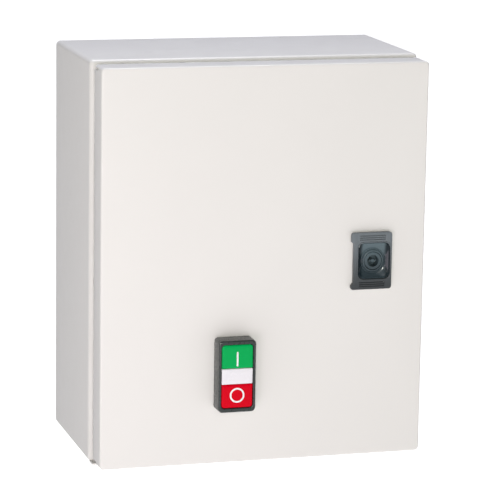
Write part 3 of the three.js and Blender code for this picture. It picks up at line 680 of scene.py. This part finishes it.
def body_shell():
    outer_fold = [(i, y, BODY_CORNER - i) for i, y in bend(FOLD, GUTTER_FLOOR + FOLD, FOLD, -90, 0)]
    foot_bend = bend(GUTTER - FOOT_FOLD, GUTTER_FLOOR - FOOT_FOLD, FOOT_FOLD, 180, 90, 4)
    foot = [(i, y, RIM_CORNER + 1.0) for i, y in foot_bend]
    rim_bend = bend(GUTTER + RIM_EDGE, RIM_FRONT + RIM_EDGE, RIM_EDGE, -90, 90, 6)
    rim = [(i, y, RIM_CORNER) for i, y in rim_bend]
    inner = GUTTER + SHEET
    inside_foot = [(inner, GUTTER_FLOOR, 2.0), (inner - 0.6, GUTTER_FLOOR + SHEET, 2.4)]
    back = [(SHEET, GUTTER_FLOOR + SHEET, 1.3), (SHEET, -SHEET, 1.3)]
    outside_back = [(i, y, BODY_CORNER) for i, y in bend(BACK_FOLD, -BACK_FOLD, BACK_FOLD, 180, 270, 6)]
    profile = outside_back + outer_fold + foot + rim + inside_foot + back
    shell = loft("enclosure_shell", tray_rings(BODY_SIZE, profile))
    join(shell, block(
        "lip",
        (BODY_LOW.x + SHEET, BODY_HIGH.x - SHEET),
        (GUTTER_FLOOR - LIP_REACH, GUTTER_FLOOR + 2),
        (BODY_LOW.z, BODY_LOW.z + LIP_THICKNESS),
    ))
    plug_low, plug_high = span("fixing_hole_plug_2")
    hole = ((plug_low.x + plug_high.x) / 2, (plug_low.z + plug_high.z) / 2)
    for sx in (-1, 1):
        for sz in (-1, 1):
            cut(shell, rod("hole", sx * hole[0], sz * hole[1], FIXING_RADIUS, -3, 1, 8))
    seal_low, seal_high = span("gland_plate_seal")
    border = 8
    through = (BODY_LOW.z - 2, BODY_LOW.z + 4)
    opening = block(
        "opening",
        (seal_low.x + border, seal_high.x - border),
        (seal_low.y + border, seal_high.y - border),
        through,
    )
    cut(shell, opening)
    for number in (1, 2, 3, 4):
        low, high = span(f"gland_plate_screw_{number}")
        x, y = (low.x + high.x) / 2, (low.y + high.y) / 2
        across = (x - SCREW_HOLE, x + SCREW_HOLE)
        cut(shell, block("hole", across, (y - SCREW_HOLE, y + SCREW_HOLE), through))
    return dress(shell, "box_paint", "enclosure", ["enclosure_body"], 28)


STUD_FOOT = [(6.4, -SHEET + 0.1), (6.0, -2.2), (5.2, -2.8)]  # weld bead, as (radius, y)
STUD_SHOULDER = [(5, -3.4), (5, -9.3), (4.6, -9.7), (3, -9.7)]
THREAD_START, THREAD_PITCH, THREAD_TURNS = -11.2, 0.9, 9
STUD_END = -19.3


def mounting_studs():
    """Shouldered studs welded to the back, with a small weld bead at the foot."""
    studs = None
    for number in (1, 2, 3, 4):
        low, high = span(f"mounting_plate_nut_{number}")
        x, z = (low.x + high.x) / 2, (low.z + high.z) / 2
        profile = STUD_FOOT + STUD_SHOULDER
        for turn in range(THREAD_TURNS):
            y = THREAD_START - turn * THREAD_PITCH
            profile += [(3.0, y), (2.65, y - THREAD_PITCH / 2)]
        profile += [(2.4, STUD_END), (TINY, STUD_END)]
        stud = turned("stud", x, z, profile, 6)
        studs = stud if studs is None else join_loose(studs, stud)
    studs.name = "mounting_studs"
    return dress(studs, "zinc_plate", "enclosure")


def join_loose(first, second):
    """Both meshes in one object, with no boolean: for parts that don't touch."""
    bm = bmesh.new()
    bm.from_mesh(first.data)
    bm.from_mesh(second.data)
    bm.to_mesh(first.data)
    bm.free()
    bpy.data.objects.remove(second, do_unlink=True)
    return first


RELIEF_LENGTH = 11.0  # the slit left where two flanges of the door meet
RELIEF_FROM, RELIEF_TO = 1.4, 3.2  # its edges, from the door's top or bottom


def door_sheet():
    corner, fold = 3.0, 1.5
    front, back = DOOR_LOW.y, DOOR_HIGH.y
    outer = [(i, y, corner - min(i, 1.9)) for i, y in bend(fold, front + fold, fold, 0, -90, 6)]
    hem = [(i, y, corner - i) for i, y in bend(SHEET / 2, back - SHEET / 2, SHEET / 2, -90, -270, 6)]
    inside = [(i, y, 1.6) for i, y in bend(SHEET + 0.5, front + SHEET + 0.5, 0.5, -90, 0, 3)]
    sheet = loft("door_sheet", tray_rings(DOOR_SIZE, outer + hem + inside))
    for node in ("lock_housing", "button_bezel"):
        low, high = span(node)
        x, z = (low.x + high.x) / 2, (low.z + high.z) / 2
        cut(sheet, rod("hole", x, z, PANEL_HOLE, front - 2, front + 4, 16))
    for sx in (-1, 1):
        for sz in (-1, 1):
            x = sx * DOOR_HIGH.x
            ends = sorted((sz * (DOOR_HIGH.z - RELIEF_FROM), sz * (DOOR_HIGH.z - RELIEF_TO)))
            cut(sheet, block("relief", (x - 2, x + 2), (back - RELIEF_LENGTH, back + 1), ends))
    return dress(sheet, "box_paint", "door", ["door_panel"], 24)


SEAL_CORNER = 8


def foam_seal():
    low, high = span("door_seal")
    width, height = high.x - low.x, high.z - low.z
    section = [
        (0.2, low.y), (0.0, low.y + 2.2),
        (0.4, high.y - 2.6), (1.6, high.y - 1.0), (3.4, high.y - 0.2), (5.0, high.y),
        (6.6, high.y - 0.2), (8.4, high.y - 1.0), (9.6, high.y - 2.6),
        (10.0, low.y + 2.2), (9.8, low.y),
    ]
    rings = []
    for inset, y in section:
        radius = max(SEAL_CORNER - inset, 1.5)
        rings.append((rounded(width - 2 * inset, height - 2 * inset, radius, 0, 0, 6), y))
    return dress(loft("door_foam_seal", rings, closed=True), "seal_rubber", "door", ["door_seal"], 50)


body_shell()
mounting_studs()
door_sheet()
foam_seal()


# ---------------------------------------------------------------- lock
LOCK_LOW, LOCK_HIGH = span("lock_housing")
BARREL_LOW, BARREL_HIGH = span("lock_barrel")
LOCK_Z = (LOCK_LOW.z + LOCK_HIGH.z) / 2
LOCK_X = (LOCK_LOW.x + LOCK_HIGH.x) / 2
INSERT_X = (BARREL_LOW.x + BARREL_HIGH.x) / 2
LOCK_FACE = -154.3
LOCK_BASE = -151.3
FRAME_FACE = LOCK_LOW.y
FRAME_SIZE = (26.6, 29.0, 5.5)  # width, height and corner radius of the ridge round the recess
FRAME_LINE = 1.0
FRAME_X = INSERT_X + 0.8
NECK_RADIUS = 10.8
BORE_RADIUS = 6.9
GROOVES, GROOVE_FROM, GROOVE_STEP = 3, 16.1, 1.5  # plain grooves at the top and bottom of the plate
GROOVE_SIZE = (20.0, 0.85, 0.4)
GROOVE_X = INSERT_X - 0.6


def lock_ring(width, height, radius, x=FRAME_X):
    return rounded(width, height, radius, x, LOCK_Z, 12)


def lock_body():
    left, right = LOCK_LOW.x, LOCK_HIGH.x
    bottom, top = LOCK_LOW.z, LOCK_HIGH.z
    waist = left + 1.7
    outline = filleted([
        (left, bottom, 1.8), (right, bottom, 2.0), (right, top, 2.4), (left, top, 2.0),
        (left, LOCK_Z + 14.6, 0.5), (waist, LOCK_Z + 13.2, 1.2),
        (waist, LOCK_Z - 16.4, 1.2), (left, LOCK_Z - 18.2, 0.5),
    ])
    plate = slab("lock_body", outline, LOCK_FACE, LOCK_BASE)
    round_edges(plate, 0.5, 3, 50, lambda a, b: max(a.y, b.y) < LOCK_FACE + 0.1)
    width, height, corner = FRAME_SIZE
    rings = [(lock_ring(width, height, corner), LOCK_BASE + 0.6)]
    for inset, y in bend(0.4, FRAME_FACE + 0.4, 0.4, -90, 90, 6):
        rings.append((lock_ring(width - 2 * inset, height - 2 * inset, corner - inset), y))
    inner = (width - 2 * FRAME_LINE, height - 2 * FRAME_LINE, corner - FRAME_LINE)
    rings.append((lock_ring(*inner), LOCK_FACE + 0.25))
    rings.append((lock_ring(*inner), LOCK_BASE + 0.6))
    ridge = loft("ridge", rings, closed=True)
    opening = slab("opening", lock_ring(width - 0.2, height - 0.2, corner), -160, -150)
    neck = rod("neck", LOCK_X, LOCK_Z, NECK_RADIUS, LOCK_BASE - 0.4, LOCK_HIGH.y, 16)
    floor = slab("floor", lock_ring(width, height, corner), LOCK_BASE - 0.5, LOCK_BASE)
    cut(plate, opening)
    join(plate, ridge)
    join(plate, floor)
    join(plate, neck)
    cut(plate, rod("bore", INSERT_X, LOCK_Z, BORE_RADIUS, -170, -130, 12))
    for side in (-1, 1):
        for k in range(GROOVES):
            z = LOCK_Z + side * (GROOVE_FROM + k * GROOVE_STEP)
            outline = rounded(*GROOVE_SIZE, GROOVE_X, z, 5)
            cut(plate, slab("groove", outline, LOCK_FACE - 1, LOCK_FACE + 1.3))
    return dress(plate, "dark_plastic", "door", ["lock_housing"], 28, "lock_plastic_painted_shade")


DISH_DEPTH = 2.55
DISH_SLOPE = (  # (inset, depth) from the ridge inwards
    (0.0, DISH_DEPTH), (0.0, 0.25), (0.2, 0.05), (0.5, 0.1), (1.0, 0.45), (1.8, 0.95), (2.6, 1.35),
)
DISH_RINGS = (  # (radius, depth) round the key insert
    (9.7, 1.75), (9.5, 1.9), (9.35, 1.5), (9.2, 1.4), (8.9, 1.4), (8.7, 1.6), (8.55, 1.75),
    (8.3, 1.6), (8.15, 0.7), (8.0, 0.5), (7.3, 0.3), (7.0, 0.35), (6.92, 0.5), (6.92, DISH_DEPTH),
)


def lock_dish():
    """The polished bowl inside the square ridge, stepped down to the round key insert."""
    width, height, corner = FRAME_SIZE
    lip = FRAME_LINE + 0.15
    rings = []
    for inset, depth in DISH_SLOPE:
        size = (width - 2 * (lip + inset), height - 2 * (lip + inset))
        x = FRAME_X + (INSERT_X - FRAME_X) * inset / 3
        rings.append((lock_ring(*size, (corner - lip) * (1 + inset * 0.35), x), LOCK_FACE + depth))
    for radius, depth in DISH_RINGS:
        rings.append((circle(radius, INSERT_X, LOCK_Z, 12), LOCK_FACE + depth))
    dish = loft("lock_dish", rings, closed=True)
    return dress(dish, "dark_plastic", "door", (), 40, "polished_plastic_painted_shade")


COLLAR_FRONT, COLLAR_BACK = -136.4, -131.3
SQUARE_HALF = 3.5  # half the width of the square that carries the cam


def lock_insert():
    """The turning insert: a key well with its pin and bits, a collar, and the cam's square."""
    face = BARREL_LOW.y
    well = [(TINY, face + 7), (4.4, face + 7), (4.4, face + 0.15)]
    barrel = [(4.45, face), (6.2, face), (6.45, face + 0.12), (6.6, face + 0.4), (6.6, COLLAR_FRONT)]
    collar = [(8.8, COLLAR_FRONT), (8.8, COLLAR_BACK), (2.3, COLLAR_BACK), (2.3, -134.4), (TINY, -134.4)]
    insert = turned("lock_insert", INSERT_X, LOCK_Z, well + barrel + collar, 16)
    stem = [(TINY, face + 7.5), (1.5, face + 7.5), (1.5, face + 0.9), (1.1, face + 0.5), (TINY, face + 0.5)]
    pin = turned("pin", INSERT_X, LOCK_Z, stem, 8)
    bits = block(
        "bits",
        (INSERT_X - 2.6, INSERT_X + 2.6),
        (face + 1.2, face + 7.4),
        (LOCK_Z - 0.6, LOCK_Z + 0.6),
    )
    square = block(
        "square",
        (INSERT_X - SQUARE_HALF, INSERT_X + SQUARE_HALF),
        (-131.5, BARREL_HIGH.y),
        (LOCK_Z - SQUARE_HALF, LOCK_Z + SQUARE_HALF),
    )
    round_edges(bits, 0.2, 2)
    join(insert, pin, bits, square)
    cut(insert, rod("thread", INSERT_X, LOCK_Z, 2.2, -135, -120, 6))
    return dress(insert, "dark_plastic", "latch", ["lock_barrel"], 30, "polished_plastic_painted_shade")


lock_body()
lock_dish()
lock_insert()


# ---------------------------------------------------------------- push-button
BEZEL_LOW, BEZEL_HIGH = span("button_bezel")
START_LOW, START_HIGH = span("start_button")
LENS_LOW, LENS_HIGH = span("centre_lens")
BUTTON_X = (LENS_LOW.x + LENS_HIGH.x) / 2
BUTTON_Z = (LENS_LOW.z + LENS_HIGH.z) / 2
BUTTON_SIZE = (28.5, 54.4)
BUTTON_BASE = LOCK_BASE
POCKET_SIZE = (24.2, 47.8)
POCKET_FLOOR = BUTTON_BASE - 3
PLUNGER_Z = 4.8
PLUNGER_RADIUS, PLUNGER_BORE = 2.2, 2.6
SHOULDER_RADIUS, CHAMBER_RADIUS = 3.2, 3.5
CAP_SIZE = (START_HIGH.x - START_LOW.x, 17.5)
CAP_FRONT = START_LOW.y
CAP_BACK = CAP_FRONT + 4.5
CAP_MIDDLE = 14.85
LENS_HEIGHT = 11.6
LENS_LEG_X = 9.7
CAP_CORNER, CAP_INNER = 2.4, 0.6


def centred(width, height, radius, z=0.0, steps=8):
    return rounded(width, height, radius, BUTTON_X, BUTTON_Z + z, steps)


def bezel():
    width, height = BUTTON_SIZE
    front = BEZEL_LOW.y
    rings = [(centred(width - 1.2, height - 1.2, 2.6), BUTTON_BASE)]
    rings.append((centred(width - 0.3, height - 0.3, 3.0), BUTTON_BASE - 0.3))
    rings.append((centred(width, height, 3.1), BUTTON_BASE - 0.9))
    edge = 1.0
    draft = 0.25
    for inset, y in bend(edge + draft, front + edge, edge, -90, 0, 5):
        rings.append((centred(width - 2 * inset, height - 2 * inset, 3.1 - inset * 0.4), y))
    inner_width, inner_height = POCKET_SIZE
    for outset, y in bend(0.5, front + 0.5, 0.5, 0, -90, 4):
        rings.append((centred(inner_width + 2 * outset, inner_height + 2 * outset, 2.7 + outset), y))
    rings.append((centred(inner_width, inner_height, 2.7), POCKET_FLOOR))
    shell = loft("push_button_bezel", rings)
    neck = rod("neck", BUTTON_X, BUTTON_Z, 11.0, BUTTON_BASE - 1.5, BEZEL_HIGH.y, 16)
    join(shell, neck)
    for side in (-1, 1):
        z = BUTTON_Z + side * PLUNGER_Z
        cut(shell, rod("bore", BUTTON_X, z, PLUNGER_BORE, POCKET_FLOOR - 2, -134, 6))
        cut(shell, rod("chamber", BUTTON_X, z, CHAMBER_RADIUS, -149.7, -137.4, 6))
    return dress(shell, "dark_plastic", "door", ["button_bezel"], 30, "bezel_plastic")


def crowned(name, width, height, radii, z, front, back, edge, dome=0.12):
    """A cap with rounded edges, its own radius at each corner and a very slightly domed face."""
    def ring(inset, shrink=1.0):
        own = tuple(max((r - inset) * shrink, 0.3) for r in radii)
        return centred((width - 2 * inset) * shrink, (height - 2 * inset) * shrink, own, z)

    rings = [(ring(0.3), back), (ring(0.0), back - 0.3)]
    for inset, y in bend(edge, front + dome + edge, edge, -90, -8, 5):
        rings.append((ring(inset), y))
    for shrink, fall in ((0.72, 0.45), (0.45, 0.15), (0.2, 0.0)):
        rings.append((ring(edge, shrink), front + dome * fall))
    return loft(name, rings)


def cap(name, side, body, slot, node, recess):
    """A push cap with its web, plunger and shoulder. side is 1 above the lens and -1 below."""
    low, high = (CAP_CORNER, CAP_INNER) if side < 0 else (CAP_INNER, CAP_CORNER)
    radii = (low, high, high, low)
    piece = crowned(name, *CAP_SIZE, radii, side * CAP_MIDDLE, CAP_FRONT, CAP_BACK, 0.8)
    web_back = POCKET_FLOOR - 4.3
    inner = side * (PLUNGER_Z - 3)
    outer = side * CAP_MIDDLE
    z = sorted((BUTTON_Z + inner, BUTTON_Z + outer))
    web = block("web", (BUTTON_X - 4.5, BUTTON_X + 4.5), (CAP_BACK - 0.5, web_back), z)
    plunger_z = BUTTON_Z + side * PLUNGER_Z
    plunger = rod("plunger", BUTTON_X, plunger_z, PLUNGER_RADIUS, web_back - 1, -131.5, 6)
    shoulder = rod("shoulder", BUTTON_X, plunger_z, SHOULDER_RADIUS, -149.4, -148.4, 6)
    join(piece, web)
    join(piece, plunger)
    join(piece, shoulder)
    cut(piece, recess)
    return dress(piece, slot, body, [node], 30)


MARK_DEPTH = 0.6
MARK_LINE = 1.3
MARK_BAR = 11.0
MARK_RING = 5.6
MARK_AIR = 0.08
MARK_PROUD = 0.1
MARK_EDGE = 0.12
BAR_Z = BUTTON_Z + CAP_MIDDLE - 1.8
RING_Z = BUTTON_Z - CAP_MIDDLE + 0.7


def bar_mark(name, margin=0.0):
    outline = rounded(MARK_LINE + 2 * margin, MARK_BAR + 2 * margin, MARK_LINE / 2, BUTTON_X, BAR_Z)
    return slab(name, outline, CAP_FRONT - MARK_PROUD - margin * 8, CAP_FRONT + MARK_DEPTH + margin)


def ring_mark(name, margin=0.0):
    z = RING_Z
    front = CAP_FRONT - MARK_PROUD - margin * 8
    back = CAP_FRONT + MARK_DEPTH + margin
    outer, inner = MARK_RING + margin, MARK_RING - MARK_LINE - margin
    section = [(outer, back), (outer, front), (inner, front), (inner, back)]
    return loft(name, [(circle(r, BUTTON_X, z, 14), y) for r, y in section], closed=True)


def marks():
    start = round_edges(bar_mark("start_mark"), MARK_EDGE, 2, 50)
    dress(start, "symbol_white", "start", ["start_symbol"], 40)
    stop = round_edges(ring_mark("stop_mark"), MARK_EDGE, 2, 50)
    dress(stop, "symbol_white", "stop", ["stop_symbol"], 40)


def lens():
    radii = (CAP_INNER,) * 4
    back = CAP_FRONT + 4
    piece = crowned("centre_window", CAP_SIZE[0], LENS_HEIGHT, radii, 0, CAP_FRONT, back, 0.5, 0.18)
    for side in (-1, 1):
        x = BUTTON_X + side * LENS_LEG_X
        z = (BUTTON_Z - 5, BUTTON_Z + 5)
        join(piece, block("leg", (x - 1.7, x + 1.7), (CAP_FRONT + 3.5, LENS_HIGH.y), z))
    return dress(piece, "white_lens", "door", ["centre_lens"], 30)


SPRING_WIRE, SPRING_RADIUS, SPRING_TURNS = 0.3, 2.8, 4.5


def return_spring(name, side, node):
    low, high = span(node)
    z = BUTTON_Z + side * PLUNGER_Z
    points = []
    count = int(SPRING_TURNS * 28)
    for i in range(count + 1):
        t = i / count
        angle = 2 * math.pi * SPRING_TURNS * t
        closing = 0.5 - 0.5 * math.cos(math.pi * t)  # closer turns at both ends
        along = 0.35 * closing + 0.65 * t
        y = low.y + SPRING_WIRE + (high.y - low.y - 2 * SPRING_WIRE) * along
        x = BUTTON_X + SPRING_RADIUS * math.cos(angle)
        points.append((x, y, z + SPRING_RADIUS * math.sin(angle)))
    spring = dress(tube(name, points, SPRING_WIRE, 8), "plain_steel", None, [node], 60)
    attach(spring, "door")
    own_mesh(spring)


bezel()
cap("start_cap", 1, "start", "green_cap", "start_button", bar_mark("recess", MARK_AIR))
cap("stop_cap", -1, "stop", "red_cap", "stop_button", ring_mark("recess", MARK_AIR))
marks()
lens()
return_spring("start_return_spring", 1, "start_spring")
return_spring("stop_return_spring", -1, "stop_spring")


# ---------------------------------------------------------------- screws on the devices
POLE_X = (-43, -30, -17)
WAY_X = (12, 26, 40, 54, 68)
EARTH_X = (-62, -54, -46)
CONTACTOR_Z, RELAY_Z, BLOCK_Z, EARTH_Z = (18, 82), -51, (-102, -94), -108
SLOT_TURNS = (12, 78, 35, -20, 100, 55, -48)  # no two neighbours stand alike


def slot_outline(x, z, length, width, degrees):
    turn = math.radians(degrees)
    c, s = math.cos(turn), math.sin(turn)
    return [(x + a * c - b * s, z + a * s + b * c) for a, b in rounded(length, width, 0.1, steps=2)]


def screw_heads(name, places, radius, seat, height):
    """Cross-slotted heads facing the door, with their seats at y = seat."""
    heads = None
    face = seat - height
    for number, (x, z) in enumerate(places):
        profile = [(radius, seat + 0.2), (radius, face + 0.3), (radius - 0.3, face), (TINY, face - 0.12)]
        head = turned("head", x, z, [(TINY, seat + 0.2)] + profile, 6)
        degrees = SLOT_TURNS[number % len(SLOT_TURNS)]
        for extra in (0, 90):
            outline = slot_outline(x, z, radius * 1.5, radius * 0.27, degrees + extra)
            cut(head, slab("slot", outline, face - 1, face + height * 0.55))
        heads = head if heads is None else join_loose(heads, head)
    heads.name = name
    return dress(heads, "zinc_plate", "enclosure")


screw_heads("contactor_terminal_screws", [(x, z) for x in POLE_X for z in CONTACTOR_Z], 3.0, -82.6, 1.1)
screw_heads("relay_terminal_screws", [(x, RELAY_Z) for x in POLE_X], 3.0, -76.6, 1.2)
screw_heads("terminal_block_screws", [(x, z) for x in WAY_X for z in BLOCK_Z], 2.3, -40.8, 1.0)
screw_heads("earth_bar_screws", [(x, EARTH_Z) for x in EARTH_X], 2.4, -25.0, 0.6)


# ---------------------------------------------------------------- wires
LOOM_ROUTE = [
    (-36, -119, -78), (-46, -126, -80), (-64, -138, -82), (-84, -142.5, -80), (-97, -143, -70),
    (-99, -143, -50), (-99, -143, -30), (-99, -143, -10), (-98, -138, 6), (-94, -118, 16),
    (-90, -90, 22), (-84, -62, 27), (-74, -52, 31), (-62, -53, 33), (-54, -54, 34),
]
LOOM_RADIUS = 2.8
WRAP_PITCH, WRAP_EDGE, WRAP_DEPTH = 6.5, 0.11, 0.42
LEAD_RADIUS = 1.7
LEAD_PULL = 16  # how far a motor lead runs straight before it bends


def spiral_wrap(distance, angle):
    """The ribbon of a spiral wrap, as a step in radius that winds round the loom."""
    phase = (distance / WRAP_PITCH - angle / (2 * math.pi)) % 1
    edge = min(phase, 1 - phase)
    return -WRAP_DEPTH if edge < WRAP_EDGE else -0.02 - 0.1 * abs(phase - 0.5)


def door_loom():
    loom = tube("door_wire_loom", spline(LOOM_ROUTE, 520), LOOM_RADIUS, 16, spiral_wrap)
    dress(loom, "wire_sleeve", None, ["door_loom"], 60)
    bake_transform(loom)


def motor_wires():
    for number in (1, 2, 3):
        low, high = span(f"motor_wire_{number}")
        start = Vector((low.x + LEAD_RADIUS, low.y + LEAD_RADIUS, high.z))
        end = Vector((high.x - LEAD_RADIUS, high.y - LEAD_RADIUS, low.z))
        down, up = start - Vector((0, 0, LEAD_PULL)), end + Vector((0, 0, LEAD_PULL))
        points = []
        for i in range(41):
            t = i / 40
            a, b = (1 - t) ** 3, 3 * (1 - t) ** 2 * t
            c, d = 3 * (1 - t) * t * t, t ** 3
            points.append(a * start + b * down + c * up + d * end)
        wire = tube(f"motor_lead_{number}", points, LEAD_RADIUS, 14)
        dress(wire, "wire_sleeve", "enclosure", [f"motor_wire_{number}"], 60)


door_loom()
motor_wires()


# ---------------------------------------------------------------- CAD nodes carried over
def smoothing_group():
    """Geometry nodes that smooth a mesh except across its sharp edges."""
    group = bpy.data.node_groups.new("smooth_except_sharp", "GeometryNodeTree")
    group.interface.new_socket("Geometry", in_out="INPUT", socket_type="NodeSocketGeometry")
    group.interface.new_socket("Geometry", in_out="OUTPUT", socket_type="NodeSocketGeometry")
    nodes, links = group.nodes, group.links
    source, result = nodes.new("NodeGroupInput"), nodes.new("NodeGroupOutput")
    faces, edges = nodes.new("GeometryNodeSetShadeSmooth"), nodes.new("GeometryNodeSetShadeSmooth")
    edges.domain = "EDGE"
    angle = nodes.new("GeometryNodeInputMeshEdgeAngle")
    sharp = nodes.new("FunctionNodeCompare")
    sharp.operation = "GREATER_THAN"
    sharp.inputs["B"].default_value = math.radians(35)
    edges.inputs["Shade Smooth"].default_value = False
    links.new(source.outputs[0], faces.inputs["Geometry"])
    links.new(faces.outputs["Geometry"], edges.inputs["Geometry"])
    links.new(angle.outputs["Unsigned Angle"], sharp.inputs["A"])
    links.new(sharp.outputs["Result"], edges.inputs["Selection"])
    links.new(edges.outputs["Geometry"], result.inputs[0])
    return group


SMOOTHING = smoothing_group()
EDGE_WIDTH = {
    "contactor_base": 0.6,
    "contactor_cover": 0.6,
    "overload_relay_housing": 0.6,
    "terminal_block": 0.4,
    "start_contact_block": 0.4,
    "stop_contact_block": 0.4,
    "button_collar": 0.4,
}
OTHER_EDGE_WIDTH = 0.22


def carry_over(node, slot):
    """Softens a CAD node's edges and gives it its finish."""
    target = frame["nodes"][node]
    weld = target.modifiers.new("weld", "WELD")
    weld.merge_threshold = 2e-6
    dissolve = target.modifiers.new("dissolve", "DECIMATE")
    dissolve.decimate_type = "DISSOLVE"
    dissolve.angle_limit = math.radians(1)
    edge = target.modifiers.new("edge", "BEVEL")
    edge.limit_method = "ANGLE"
    edge.angle_limit = math.radians(40)
    edge.width = EDGE_WIDTH.get(node, OTHER_EDGE_WIDTH) * MM
    edge.segments = 2
    edge.use_clamp_overlap = True
    finish = target.modifiers.new("smooth", "NODES")
    finish.node_group = SMOOTHING
    flat_faces(target)
    target.data.materials.clear()
    target.data.materials.append(FINISHES[slot].material)


for part in frame["record"]["subparts"]:
    if not frame["nodes"][part["node"]].hide_render:
        carry_over(part["node"], part["material_slot"])
